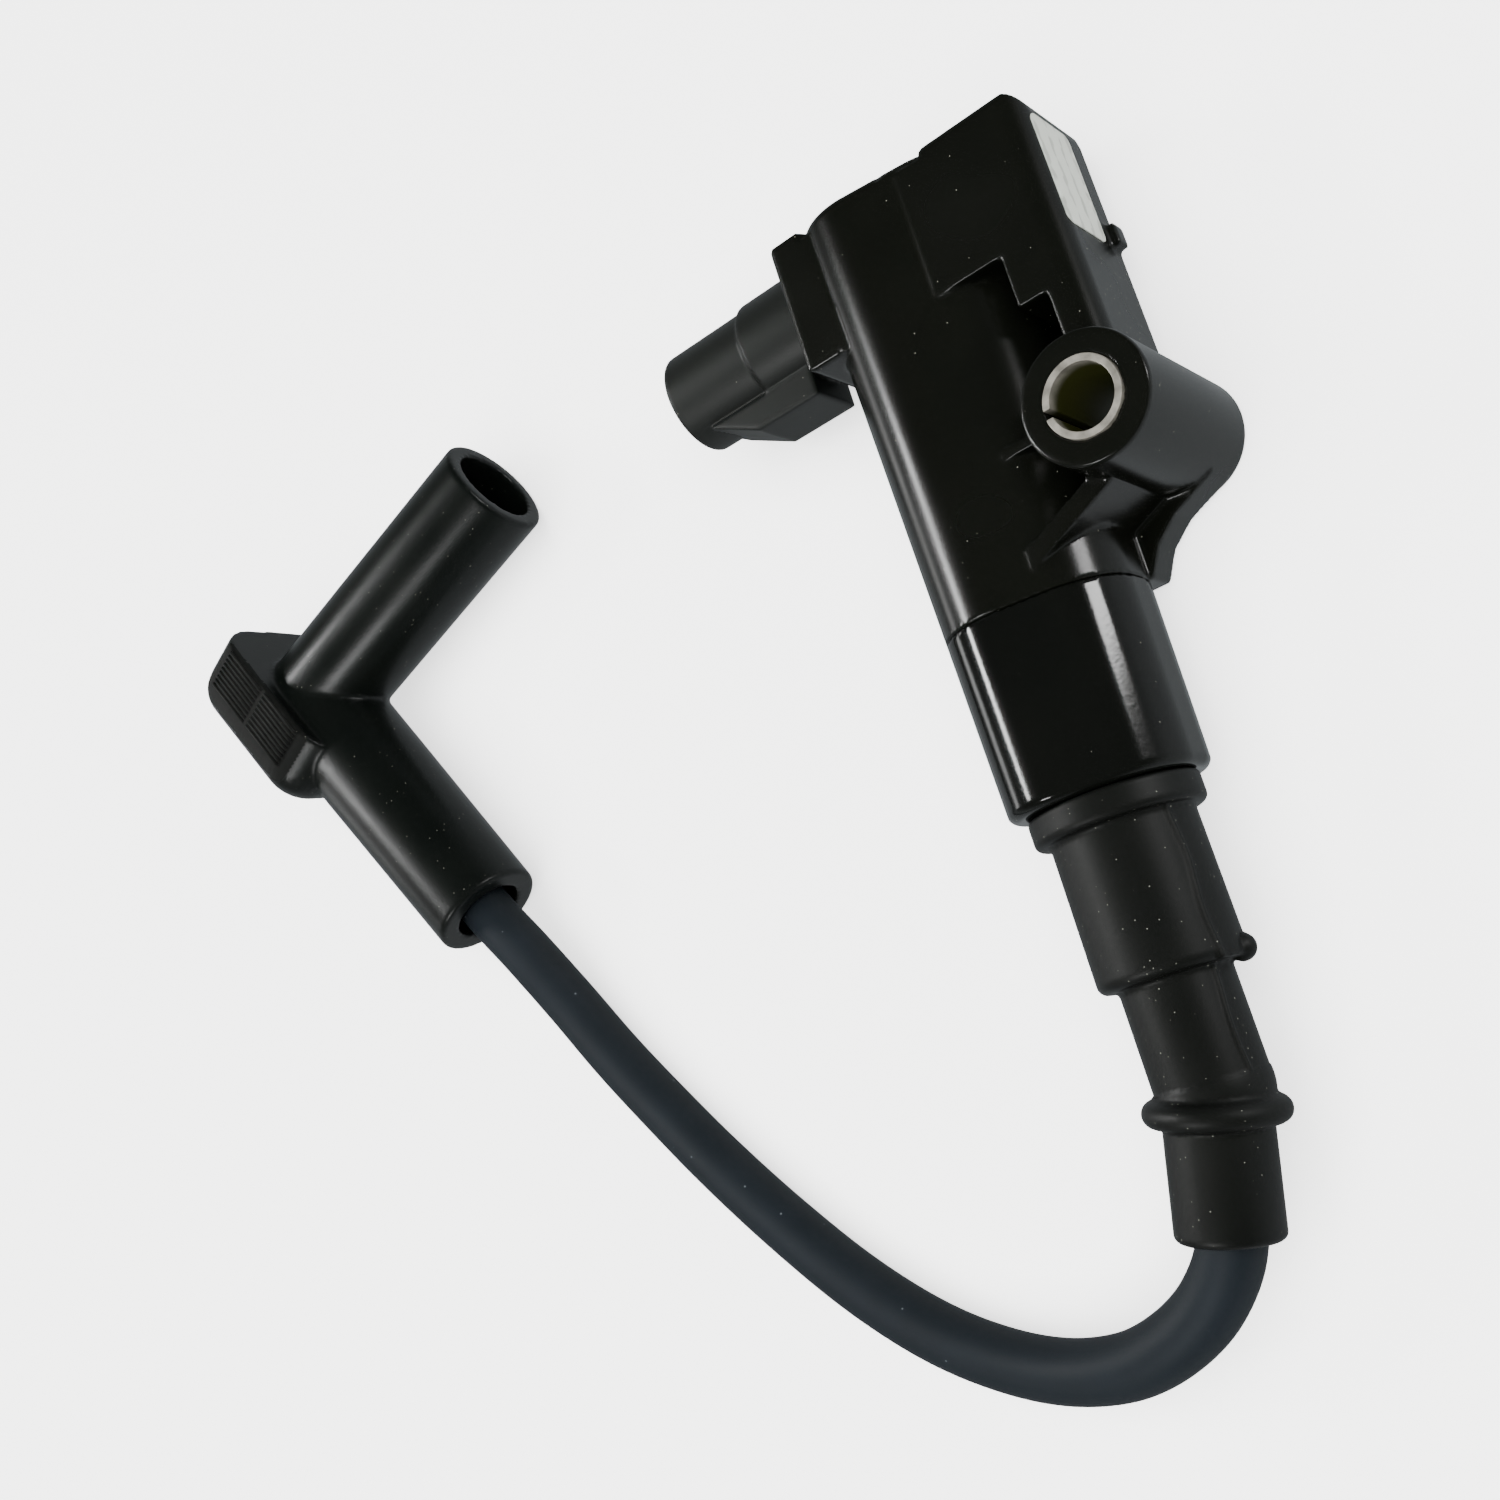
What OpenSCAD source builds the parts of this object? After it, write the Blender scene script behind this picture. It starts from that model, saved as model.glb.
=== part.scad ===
// Ignition coil for a small engine: a potted coil with one bolt boss, a two-pin
// primary connector, and a high-voltage lead that ends in a spark-plug elbow boot.
// Origin: centre of the bolt hole on the boss's seating face. +Z runs up the bolt,
// +Y along the coil body towards its head, +X to the labelled side.

/* [Coil body] */
// Distance from the bolt axis to the body axis
body_offset = 17; // [16.8:0.1:17.5]
// Height of the body axis above the seating face
body_z = 10.4; // [10.2:0.1:10.6]
// Half width of the body at its head end
body_half_head = 11.5; // [11.2:0.1:11.8]
// Half width of the body at its tower end
body_half_tower = 10; // [9.8:0.1:10.2]
// Half height of the body, front to back
body_half_high = 10; // [9.8:0.1:10.2]
// Radius that rounds the body's long corners
body_round = 7.5; // [6.5:0.5:8.5]
// Radius of the front corner on the labelled side, which is rounder
front_round = 8.2; // [8:0.1:8.6]
// How much lower that front corner is
front_drop = 1.3; // [1:0.1:1.4]
// Y of the head's end face
head_y = 37; // [36.5:0.5:38]
// Y of the joint between the coil case and the tower housing
joint_y = -14; // [-14.5:0.5:-13]
// Y of the tower housing's end face
tower_y = -34.6; // [-35:0.1:-34]

/* [Head block] */
// X of the labelled side face
head_x = 2.4; // [2:0.1:3]
// Z of the head's front face
head_top = 19.3; // [18.8:0.1:19.8]
// Z of the head's back face
head_back = 5; // [4.5:0.1:5.5]
// Y of the lower edge of the head block
head_low = 20.6; // [20:0.1:21]
// Radius of the head's outer corner
head_round = 2.6; // [1.5:0.1:3]

/* [Bolt boss] */
// Outer radius of the boss
boss_r = 6.85; // [6.5:0.05:7.2]
// Height of the boss
boss_h = 25.2; // [24:0.2:26]
// Inner radius of the steel sleeve, for an M6 bolt
sleeve_in_r = 3.4; // [3.2:0.1:3.5]
// Outer radius of the steel sleeve
sleeve_out_r = 4.2; // [4:0.1:4.4]
// Width of the slit in the rolled sleeve
sleeve_slit = 0.9; // [0.4:0.1:1.2]

/* [Primary connector] */
// Y of the connector's axis
plug_y = 30.2; // [30:0.1:30.6]
// Outer radius of the connector shroud
shroud_r = 6.4; // [6.2:0.1:6.6]
// Wall of the shroud
shroud_wall = 1.3; // [1.1:0.1:1.5]
// X of the shroud's open end
shroud_x = -51.5; // [-52:0.5:-50]
// X of the connector block's outer face
block_x = -30.9; // [-31.5:0.1:-30.5]
// Distance between the two blade terminals
pin_gap = 5; // [4.5:0.1:5.2]

/* [Coil boot and lead] */
// Diameter of the high-voltage lead
lead_d = 7; // [6.9:0.1:7]
// Radius of the boot's flange
flange_r = 9.2; // [8.8:0.1:9.4]
// Radius of the boot's wide sleeve
boot_wide_r = 7.8; // [7.6:0.1:8]
// Radius of the boot's narrow sleeve
boot_slim_r = 5.9; // [5.8:0.1:6.1]
// Radius of the boot's end sleeve
boot_end_r = 5.5; // [5.3:0.1:5.7]
// Angle by which the boot's end sleeve bends towards the lead
boot_bend = 14; // [13:0.5:15]

/* [Elbow boot] */
// Outer radius of the spark-plug socket
socket_r = 7.8; // [7.6:0.1:8]
// Inner radius of the spark-plug socket
socket_in_r = 5.6; // [5.4:0.1:5.8]
// Radius of the lead leg at the corner
leg_r = 8.2; // [8:0.1:8.4]
// Radius of the lead leg at its mouth
leg_mouth_r = 7.5; // [7.3:0.1:7.7]
// Half length of the oval grip pad
pad_half_long = 13.8; // [13:0.1:14.2]
// Half height of the oval grip pad
pad_half_high = 10.5; // [10:0.5:11]

/* [Hidden] */
$fn = 64;
body_x = -body_offset;

// Bores and walls inside the body
cavity_r = 8.3;         // inside of the case and of the tower housing
case_floor_y = 34;      // inner end of the case's cavity
tower_floor_y = -29;    // inner end of the tower's cavity
spigot_r = 4.9;         // high-voltage tower that the boot grips
spigot_y = -50;
spigot_bore_r = 4.1;
pocket_z = 5;           // floor of the pockets around the boss
potting_depth = 1.6;    // depth of the resin in the back of the head
potting_x = -8.6;       // inner side of that resin
clip_seat_r = 4.35;     // narrow part of the elbow's socket, around the clip
clip_seat_end = 24.4;   // distance from the corner to that part's end

// The lead's route, from inside the coil boot, down to the surface that the coil lies on,
// and up into the elbow boot. Its points were chosen by hand.
lead_route = [[-17, -46, 10.4], [-17, -56, 10.4], [-17, -64, 10.4], [-18.6, -72, 10.4],
    [-20.6, -80, 10.3], [-25, -85.2, 9.6], [-31, -88.5, 8.4], [-38, -90.2, 6.6],
    [-46, -89.8, 5], [-54, -87.3, 4], [-62, -82.8, 3.6], [-70, -76, 3.6],
    [-78, -67.3, 3.6], [-85.5, -58, 3.6], [-92, -49, 3.6], [-97.3, -40.7, 4],
    [-101.8, -32, 5], [-105.6, -23.8, 6.8], [-109.4, -16.7, 8], [-115, -5.9, 8.8],
    [-121.4, 6.3, 9.8]];

// Corner of the elbow, mouth of its lead leg and mouth of its socket
elbow = [-130, 22.8, 11];
leg_mouth = [-109.4, -16.7, 8];
socket_mouth = [-88.5, 38.2, 8];

// Stands the children's +Z axis on the line from one point to another
module along(from, to) {
    d = to - from;
    translate(from)
        rotate([0, acos(d.z / norm(d)), atan2(d.y, d.x)])
            children();
}

// Stands the children's +Z axis on the body axis, pointing to the tower, from a given Y
module body_axis(y) {
    translate([body_x, y, body_z])
        rotate([90, 0, 0])
            children();
}

function half_width(y) = body_half_tower
    + (body_half_head - body_half_tower) * (y - tower_y) / (head_y - tower_y);

// Outside of the body between two values of Y: a front that slopes towards the labelled
// side, rounded long corners, slight draft
module barrel(y_from, y_to) {
    disc = 0.02;
    hull()
        for (side = [-1, 1], level = [-1, 1], y = [y_from, y_to + disc]) {
            lower = side + level == 2;
            r = lower ? front_round : body_round;
            high = lower ? body_half_high - front_drop : body_half_high;
            translate([body_x + side * (half_width(y) - r), y, body_z + level * (high - r)])
                rotate([90, 0, 0])
                    cylinder(h = disc, r = r, $fn = 40);
        }
}

// Block with rounded upright corners
module rounded_block(low, high, r) {
    translate([0, 0, low.z])
        linear_extrude(high.z - low.z)
            union() {
                translate([low.x + r, low.y])
                    square([high.x - low.x - 2 * r, high.y - low.y]);
                translate([low.x, low.y + r])
                    square([high.x - low.x, high.y - low.y - 2 * r]);
                for (x = [low.x + r, high.x - r], y = [low.y + r, high.y - r])
                    translate([x, y])
                        circle(r);
            }
}

// Upper housing: body shell, head block, pockets, connector block and bolt boss
module coil_case() {
    color([0.09, 0.09, 0.08])
    difference() {
        union() {
            barrel(head_y, joint_y);
            rounded_block([body_x, head_low, head_back], [head_x, head_y, head_top], head_round);
            rounded_block([block_x, head_low + 0.4, 3.5], [body_x, head_y, head_top - 0.1], 1);
            // small tab on the back edge of the labelled side
            translate([head_x - 1, 20.8, head_back])
                cube([2.1, 2.6, 2.4]);
            // column between the head and the boss, stepped beside the pocket
            translate([-5.2, 14.5, head_back])
                cube([head_x + 5.2, 8, head_top - head_back]);
            translate([-1.8, 4, head_back])
                cube([head_x + 1.8, 12, head_top - head_back]);
            // pocket floor, and the low web from the boss down to the tower
            translate([body_x, -6, 1.5])
                cube([-body_x - 1, 30, pocket_z - 1.5]);
            translate([0, 0, 1])
                linear_extrude(5)
                    polygon([[-2, 0], [4.7, -4.9], [3.1, -6.4], [-1.9, -8.6], [-4.6, -10.8],
                        [-6.4, -13.9], [-12, -13.9], [-12, 0]]);
            // thin rib and thick diagonal rib
            translate([body_x, 0.6, pocket_z - 1])
                cube([-body_x - 4, 1.2, 15]);
            translate([-2.6, -6.8, 0])
                rotate([0, 0, 24])
                    translate([-13.5, 0, 0])
                        cube([16, 2.2, 19.2]);
            boss();
        }
        translate([0, 0, -1])
            cylinder(h = boss_h + 2, r = sleeve_out_r);
        body_axis(case_floor_y)
            cylinder(h = case_floor_y - joint_y + 1, r = cavity_r);
        // recess for the potting in the back of the head
        translate([potting_x, head_low + 2.2, head_back - 1])
            cube([0.5 - potting_x, head_y - head_low - 4.4, 1 + potting_depth]);
        // tunnel for the lead frame, and the two slots for the blades
        translate([block_x + 3, plug_y - 3.6, body_z - 2])
            cube([8, 7.2, 4]);
        for (side = [-1, 1])
            translate([block_x - 1, plug_y + side * pin_gap / 2 - 1.4, body_z - 0.4])
                cube([5, 2.8, 0.8]);
    }
}

module boss() {
    cylinder(h = boss_h, r = boss_r);
}

// Lower housing: the glossy nose and the high-voltage tower inside the boot
module tower_housing() {
    color([0.07, 0.07, 0.07])
    difference() {
        union() {
            barrel(joint_y, tower_y);
            body_axis(tower_y + 1)
                cylinder(h = tower_y - spigot_y + 1, r = spigot_r);
        }
        body_axis(joint_y + 1)
            cylinder(h = joint_y - tower_floor_y + 1, r = cavity_r);
        body_axis(tower_floor_y + 1)
            cylinder(h = tower_floor_y - spigot_y + 2, r = spigot_bore_r);
    }
}

// Rolled steel sleeve that takes the bolt's load; its slit faces the body
module compression_sleeve() {
    color([0.75, 0.74, 0.7])
    difference() {
        cylinder(h = boss_h + 0.3, r = sleeve_out_r);
        translate([0, 0, -1])
            cylinder(h = boss_h + 3, r = sleeve_in_r);
        rotate([0, 0, 180])
            translate([0, -sleeve_slit / 2, -1])
                cube([sleeve_out_r + 1, sleeve_slit, boss_h + 3]);
    }
}

// Resin poured into the back of the head, over the lead frame's joints
module head_potting() {
    color([0.12, 0.12, 0.11])
    translate([potting_x, head_low + 2.2, head_back + 0.3])
        cube([0.5 - potting_x, head_y - head_low - 4.4, potting_depth - 0.3]);
}

// Plain sticker on the side of the head
module label() {
    color([0.68, 0.7, 0.67])
    translate([head_x, 0, 0])
        rotate([90, 0, 90])
            rounded_block([20.8, 8.6, 0], [34.2, 17.4, 0.12], 1);
}

// Round shroud around the blades, with a collar and a locking ramp
module connector_shroud() {
    root = block_x;
    color([0.1, 0.1, 0.1])
    difference() {
        union() {
            translate([shroud_x, plug_y, body_z])
                rotate([0, 90, 0])
                    cylinder(h = root - shroud_x, r = shroud_r);
            translate([root - 8.5, plug_y, body_z])
                rotate([0, 90, 0])
                    cylinder(h = 8.5, r = shroud_r + 0.5);
            // locking ramp on the side towards the lead
            translate([0, 0, body_z - 4])
                linear_extrude(8)
                    polygon([[shroud_x + 3, plug_y - shroud_r + 0.6],
                        [shroud_x + 9.5, plug_y - shroud_r - 3],
                        [root - 2, plug_y - shroud_r - 3],
                        [root - 2, plug_y - shroud_r + 0.6]]);
        }
        translate([shroud_x - 1, plug_y, body_z])
            rotate([0, 90, 0])
                cylinder(h = root - shroud_x - 1.5, r = shroud_r - shroud_wall);
        for (side = [-1, 1])
            translate([root - 4, plug_y + side * pin_gap / 2 - 1.4, body_z - 0.4])
                cube([6, 2.8, 0.8]);
    }
}

// Ring seal at the bottom of the shroud
module connector_seal() {
    color([0.45, 0.2, 0.12])
    translate([block_x - 4.4, plug_y, body_z])
        rotate([0, 90, 0])
            difference() {
                cylinder(h = 1.9, r = shroud_r - shroud_wall);
                translate([0, 0, -1])
                    cylinder(h = 4, r = shroud_r - shroud_wall - 0.7);
            }
}

module terminal_blade(side) {
    color([0.8, 0.78, 0.7])
    translate([block_x - 12.5, plug_y + side * pin_gap / 2 - 1.4, body_z - 0.4])
        cube([15.5, 2.8, 0.8]);
}

module terminal_blade_upper() {
    terminal_blade(1);
}

module terminal_blade_lower() {
    terminal_blade(-1);
}

// Two stamped strips that join the blades to the primary winding
module lead_frame() {
    color([0.72, 0.45, 0.2])
    for (side = [-1, 1])
        translate([block_x + 3, plug_y + side * pin_gap / 2 - 0.9, body_z - 1.2])
            cube([2.4, 1.8, 2.4]);
}

// Stack of steel sheets in the middle of the coil
module core_laminations() {
    sheets = 8;
    pitch = 6 / sheets;
    color([0.4, 0.41, 0.43])
    body_axis(29)
        for (i = [0 : sheets - 1])
            translate([-3 + i * pitch, -3 + 0.05 * (i % 2), 0])
                cube([pitch, 5.9, 50]);
}

// Magnet at the head end of the core
module bias_magnet() {
    color([0.3, 0.3, 0.32])
    body_axis(32)
        cylinder(h = 3, r = 3.8);
}

// Spool with an end flange at each end: inner radius, wall radius, flange radius, length
module spool(inner, wall, flange, length) {
    difference() {
        union() {
            cylinder(h = length, r = wall);
            cylinder(h = 1, r = flange);
            translate([0, 0, length - 1])
                cylinder(h = 1, r = flange);
        }
        translate([0, 0, -1])
            cylinder(h = length + 2, r = inner);
    }
}

module ring(outer, inner, length) {
    difference() {
        cylinder(h = length, r = outer);
        translate([0, 0, -1])
            cylinder(h = length + 2, r = inner);
    }
}

module primary_bobbin() {
    color([0.85, 0.82, 0.7])
    body_axis(29)
        spool(4.4, 4.8, 5.5, 50);
}

module primary_winding() {
    color([0.7, 0.33, 0.15])
    body_axis(28)
        ring(5.45, 4.8, 48);
}

// Spool with walls that part the fine winding into chambers
module secondary_bobbin() {
    chambers = 6;
    color([0.2, 0.22, 0.2])
    body_axis(28.5) {
        spool(5.6, 6, 7.3, 50);
        for (i = [1 : chambers - 1])
            translate([0, 0, 1 + i * 48 / chambers - 0.4])
                ring(7.3, 5.9, 0.8);
    }
}

module secondary_winding() {
    chambers = 6;
    color([0.62, 0.3, 0.16])
    body_axis(27.5)
        for (i = [0 : chambers - 1])
            translate([0, 0, i * 48 / chambers + 0.45])
                ring(7, 6, 48 / chambers - 0.9);
}

// Split steel tube that closes the magnetic path around the windings
module flux_shield() {
    color([0.45, 0.46, 0.48])
    body_axis(28.5)
        difference() {
            ring(7.9, 7.45, 36);
            translate([0, -0.5, -1])
                cube([12, 1, 40]);
        }
}

// Cured resin that fills the head end of the body
module body_potting() {
    color([0.16, 0.14, 0.1])
    body_axis(case_floor_y)
        difference() {
            cylinder(h = 4.8, r = cavity_r);
            translate([0, 0, 2])
                cylinder(h = 4, r = 4.2);
        }
}

// Brass cup at the high-voltage end of the secondary winding
module high_voltage_cup() {
    color([0.75, 0.6, 0.3])
    body_axis(-22.5)
        difference() {
            union() {
                cylinder(h = 1.2, r = 5.5);
                cylinder(h = 7, r = 3.3);
            }
            translate([0, 0, 1.2])
                cylinder(h = 7, r = 2.8);
        }
}

// Coil spring from the cup to the lead's terminal
module contact_spring() {
    turns = 7;
    coil_r = 2;
    wire_r = 0.3;
    length = 13.4;
    steps = 16;
    sides = 6;
    count = turns * steps;
    points = [for (i = [0 : count], k = [0 : sides - 1])
        let (a = 360 * i / steps, b = 360 * k / sides, r = coil_r + wire_r * cos(b))
            [r * cos(a), r * sin(a), wire_r + (length - 2 * wire_r) * i / count
                + wire_r * sin(b)]];
    walls = [for (i = [0 : count - 1], k = [0 : sides - 1])
        let (next = (k + 1) % sides)
            [i * sides + k, (i + 1) * sides + k, (i + 1) * sides + next, i * sides + next]];
    first_end = [[for (k = [0 : sides - 1]) k]];
    last_end = [[for (k = [sides - 1 : -1 : 0]) count * sides + k]];
    color([0.8, 0.8, 0.78])
    body_axis(-23.8)
        polyhedron(points, concat(walls, first_end, last_end), 4);
}

// Brass cap crimped on the lead's end inside the tower
module coil_end_terminal() {
    color([0.8, 0.65, 0.35])
    body_axis(-37.3)
        difference() {
            union() {
                cylinder(h = 2, r = 2.4);
                translate([0, 0, 2])
                    cylinder(h = 10.5, r = 3.95);
            }
            translate([0, 0, 8.7])
                cylinder(h = 6, r = lead_d / 2 + 0.02);
        }
}

// Rubber boot: flange, wide sleeve, narrow sleeve, bead and bent end sleeve
module coil_boot() {
    knee = [body_x, -65.5, body_z];
    flange_y = tower_y - 0.1;
    bead = 1.4;
    color([0.1, 0.11, 0.1])
    difference() {
        union() {
            body_axis(flange_y) {
                cylinder(h = 3.2, r = flange_r);
                cylinder(h = 19.2, r1 = boot_wide_r - 0.1, r2 = boot_wide_r);
                cylinder(h = flange_y - knee.y, r = boot_slim_r);
            }
            translate(knee)
                sphere(boot_slim_r + 0.15);
            translate(knee)
                rotate([90, 0, -boot_bend]) {
                    cylinder(h = 14.8, r = boot_end_r);
                    translate([0, 0, 2.2])
                        rotate_extrude()
                            translate([boot_end_r + 0.5, 0])
                                circle(bead);
                }
        }
        body_axis(flange_y + 1)
            cylinder(h = flange_y - spigot_y + 1, r = spigot_r);
        body_axis(spigot_y + 1)
            cylinder(h = spigot_y - knee.y + 1, r = lead_d / 2 + 0.02);
        translate(knee)
            sphere(lead_d / 2 + 0.15);
        translate(knee)
            rotate([90, 0, -boot_bend])
                cylinder(h = 16, r = lead_d / 2 + 0.02);
    }
}

// Tube of one radius swept along a route, with its rings square to the route
function unit(v) = v / norm(v);
function route_dir(p, i) = unit(p[min(i + 1, len(p) - 1)] - p[max(i - 1, 0)]);
function smooth_point(p, i, t) =
    let (a = p[max(i - 1, 0)], b = p[i], c = p[i + 1], d = p[min(i + 2, len(p) - 1)])
        0.5 * (2 * b + (c - a) * t + (2 * a - 5 * b + 4 * c - d) * t * t
            + (3 * b - a - 3 * c + d) * t * t * t);
module swept_tube(route, radius, sides) {
    steps = 2;
    fine = [for (i = [0 : len(route) - 2], s = [0 : steps - 1])
        smooth_point(route, i, s / steps)];
    path = concat(fine, [route[len(route) - 1]]);
    count = len(path);
    points = [for (i = [0 : count - 1], k = [0 : sides - 1])
        let (d = route_dir(path, i), side = unit(cross(d, [0, 0, 1])), up = cross(side, d),
            a = 360 * k / sides)
            path[i] + radius * (cos(a) * side + sin(a) * up)];
    walls = [for (i = [0 : count - 2], k = [0 : sides - 1])
        let (next = (k + 1) % sides)
            [i * sides + k, i * sides + next, (i + 1) * sides + next, (i + 1) * sides + k]];
    first_end = [[for (k = [sides - 1 : -1 : 0]) k]];
    last_end = [[for (k = [0 : sides - 1]) (count - 1) * sides + k]];
    polyhedron(points, concat(walls, first_end, last_end), 4);
}

// High-voltage lead
module lead() {
    color([0.14, 0.16, 0.18])
    swept_tube(lead_route, lead_d / 2, 12);
}

// Elbow boot for the spark plug: lead leg, socket and oval grip pad
module elbow_boot() {
    leg_len = norm(leg_mouth - elbow);
    socket_len = norm(socket_mouth - elbow);
    color([0.1, 0.11, 0.1])
    difference() {
        union() {
            along(elbow, leg_mouth)
                cylinder(h = leg_len, r1 = leg_r, r2 = leg_mouth_r);
            along(elbow, socket_mouth)
                translate([0, 0, -6])
                    cylinder(h = socket_len + 6, r = socket_r);
            grip_pad();
        }
        along(elbow, leg_mouth) {
            translate([0, 0, 12])
                cylinder(h = leg_len, r = lead_d / 2 + 0.08);
            translate([0, 0, leg_len - 6])
                cylinder(h = 8, r = lead_d / 2 + 1.2);
        }
        along(elbow, socket_mouth) {
            translate([0, 0, clip_seat_end])
                cylinder(h = socket_len, r = socket_in_r);
            translate([0, 0, 4])
                cylinder(h = socket_len, r = clip_seat_r);
        }
        // passage for the terminal between the leg and the socket
        along(elbow, leg_mouth)
            translate([0, 0, -2])
                cylinder(h = 20, r = 2.4);
        along(elbow, socket_mouth)
            translate([0, 0, -3])
                cylinder(h = 10, r = 2.4);
    }
}

// Oval pad on the outside of the corner, parallel to the lead leg, that the fingers grip.
// Each layer has its start and its thickness outwards, and how much smaller its outline is.
module grip_pad() {
    layers = [[-1.8, 7.2, 0], [5.3, 2.5, 1.8], [7.7, 2.3, 4]];
    shift = -0.5;
    along(elbow, leg_mouth)
        rotate([90, 0, 0])
            translate([0, shift, 0])
                for (layer = layers)
                    rounded_block([-pad_half_high + layer[2], -pad_half_long + layer[2], layer[0]],
                        [pad_half_high - layer[2], pad_half_long - layer[2], layer[0] + layer[1]],
                        6);
}

// Brass terminal: a barrel crimped on the lead and a tongue into the socket
module plug_end_terminal() {
    color([0.8, 0.65, 0.35])
    union() {
        along(elbow, leg_mouth)
            translate([0, 0, -2])
                cylinder(h = 18.5, r = 2.4);
        along(elbow, socket_mouth)
            translate([0, 0, -3])
                cylinder(h = 15, r = 2.4);
    }
}

// Spring clip that snaps on the spark plug's terminal nut
module plug_clip() {
    color([0.78, 0.77, 0.72])
    along(elbow, socket_mouth)
        translate([0, 0, 9])
            difference() {
                cylinder(h = 15, r = 4.2);
                translate([0, 0, 3])
                    cylinder(h = 14, r = 3.2);
                translate([0, 0, -1])
                    cylinder(h = 5, r = 2.4);
                translate([0, -0.6, 3])
                    cube([6, 1.2, 14]);
            }
}

coil_case();
tower_housing();
compression_sleeve();
head_potting();
label();
connector_shroud();
connector_seal();
terminal_blade_upper();
terminal_blade_lower();
lead_frame();
core_laminations();
bias_magnet();
primary_bobbin();
primary_winding();
secondary_bobbin();
secondary_winding();
flux_shield();
body_potting();
high_voltage_cup();
contact_spring();
coil_end_terminal();
coil_boot();
lead();
elbow_boot();
plug_end_terminal();
plug_clip();
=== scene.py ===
import math
import bpy
import bmesh
import numpy as np
from mathutils import Matrix, Vector


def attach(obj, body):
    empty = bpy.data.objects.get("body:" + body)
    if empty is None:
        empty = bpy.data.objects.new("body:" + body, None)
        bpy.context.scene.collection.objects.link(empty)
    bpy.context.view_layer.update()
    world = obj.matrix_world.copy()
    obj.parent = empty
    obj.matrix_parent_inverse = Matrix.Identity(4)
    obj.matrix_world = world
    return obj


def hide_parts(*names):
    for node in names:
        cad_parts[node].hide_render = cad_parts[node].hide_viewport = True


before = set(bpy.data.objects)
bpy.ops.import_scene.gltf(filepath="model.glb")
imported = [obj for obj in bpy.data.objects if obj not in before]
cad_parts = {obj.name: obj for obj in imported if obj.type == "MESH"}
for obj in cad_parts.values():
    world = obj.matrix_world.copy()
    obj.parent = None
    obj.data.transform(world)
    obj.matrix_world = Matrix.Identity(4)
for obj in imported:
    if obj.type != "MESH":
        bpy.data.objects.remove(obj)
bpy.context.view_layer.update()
MM = 0.001


# Camera: it looks down on the lying coil from the labelled side, so that the bolt hole
# leans to the left and the head is at the top.
eye = Vector((52.5, -62.2, 174.5)) * MM
aim = Vector((-58.4, -13.1, 11.0)) * MM
up_hint = Vector((0.366, 0.930, 0.031))
camera_data = bpy.data.cameras.new("camera")
camera_data.lens = 40.8
camera_data.sensor_width = 36
camera_data.clip_start = 0.01
camera = bpy.data.objects.new("camera", camera_data)
bpy.context.scene.collection.objects.link(camera)
back = (eye - aim).normalized()
across = up_hint.cross(back).normalized()
turn = Matrix((across, back.cross(across), back)).transposed().to_4x4()
camera.matrix_world = Matrix.Translation(eye) @ turn
bpy.context.scene.camera = camera


# Floor: a wide sheet of matt white card that the coil lies on. It glows a little of its own,
# so that it comes out almost white, and it is kept out of the gloss of the black plastic.
def linear(code):
    """The linear colour of an sRGB hex value such as "8a8f84"."""
    parts = [int(code[i:i + 2], 16) / 255 for i in (0, 2, 4)]
    return tuple(p / 12.92 if p <= 0.04045 else ((p + 0.055) / 1.055) ** 2.4 for p in parts) + (1,)


def add_node(tree, kind, settings=None, **links):
    """Adds a node; each setting is one of its inputs or properties, each link an output."""
    node = tree.nodes.new(kind)
    for name, value in (settings or {}).items():
        if isinstance(name, int) or name in node.inputs:
            node.inputs[name].default_value = value
        else:
            setattr(node, name, value)
    for name, output in links.items():
        tree.links.new(output, node.inputs[name.replace("_", " ")])
    return node


card = bpy.data.materials.new("matt white card")
card.use_nodes = True
card_shader = card.node_tree.nodes["Principled BSDF"]
card_shader.inputs["Base Color"].default_value = linear("f6f6f5")
card_shader.inputs["Roughness"].default_value = 0.9
card_shader.inputs["Specular IOR Level"].default_value = 0.2
card_shader.inputs["Emission Color"].default_value = linear("ffffff")
card_shader.inputs["Emission Strength"].default_value = 1.8
floor_mesh = bpy.data.meshes.new("floor")
reach = 3.0
floor_mesh.from_pydata(
    [(-reach, -reach, 0), (reach, -reach, 0), (reach, reach, 0), (-reach, reach, 0)],
    [], [(0, 1, 2, 3)])
floor_mesh.materials.append(card)
floor = bpy.data.objects.new("floor", floor_mesh)
bpy.context.scene.collection.objects.link(floor)
floor.visible_glossy = False


# Light: a dim room, one wide soft lamp overhead that whitens the card without showing in
# the gloss, and four soft windows that draw the highlights: two on the left, one
# in front and one low on the right. The camera sees a pale backdrop in place of the room.
room = bpy.data.worlds.new("soft room")
bpy.context.scene.world = room
room.use_nodes = True
tree = room.node_tree
tree.nodes.clear()
where = add_node(tree, "ShaderNodeTexCoord")
split = add_node(tree, "ShaderNodeSeparateXYZ", Vector=where.outputs["Generated"])
height = add_node(tree, "ShaderNodeMapRange", {"From Min": -0.35, "From Max": 0.45,
                                               "To Min": 0.42, "To Max": 0.045,
                                               "interpolation_type": "SMOOTHSTEP"},
                  Value=split.outputs["Z"])
glow = add_node(tree, "ShaderNodeBackground", {"Color": linear("f4fbff")},
                Strength=height.outputs["Result"])
pale = add_node(tree, "ShaderNodeBackground", {"Color": linear("f4f5f5"), "Strength": 2.0})
seen = add_node(tree, "ShaderNodeLightPath")
shown = add_node(tree, "ShaderNodeMixShader")
tree.links.new(seen.outputs["Is Camera Ray"], shown.inputs[0])
tree.links.new(glow.outputs["Background"], shown.inputs[1])
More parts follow.
